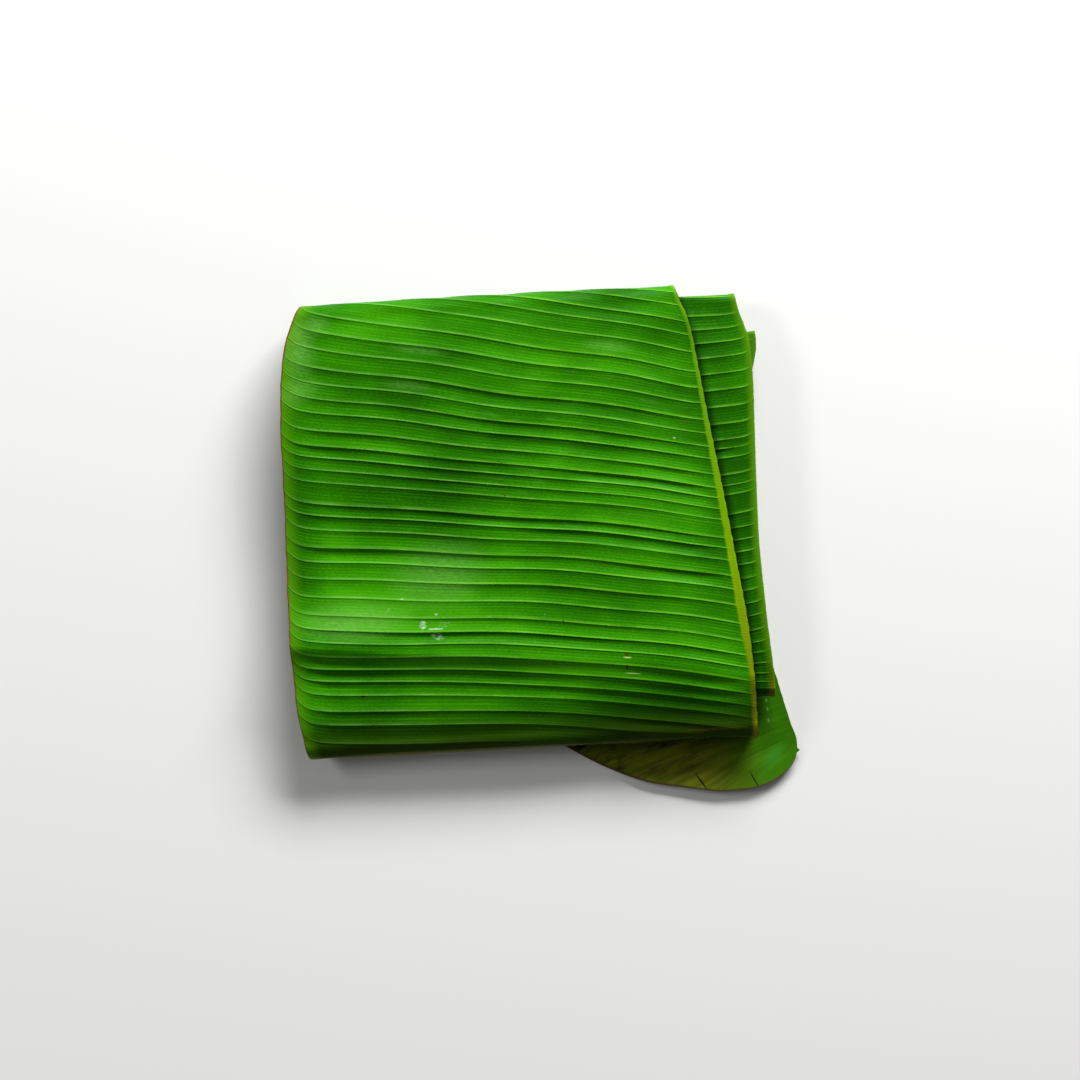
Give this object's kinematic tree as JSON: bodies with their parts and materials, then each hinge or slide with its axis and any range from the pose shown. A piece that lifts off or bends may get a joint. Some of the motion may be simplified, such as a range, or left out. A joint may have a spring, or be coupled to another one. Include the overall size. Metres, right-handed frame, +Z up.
{
  "type": "banana leaf",
  "caption": "Fresh green half-blade of a banana leaf, cut from its midrib and rolled up flat, ribbed across with fine side veins.",
  "frame": {"origin": "middle of the flat spot under the leaf that it rests on", "axes": "+X across the blade, towards the cut midrib edge; +Y towards the back folds; +Z up"},
  "size_m": [0.306, 0.3219, 0.0291],
  "materials": {
    "leaf": "waxy satin"
  },
  "bodies": {
    "root": {"banana_leaf": "leaf"}
  },
  "joints": []
}
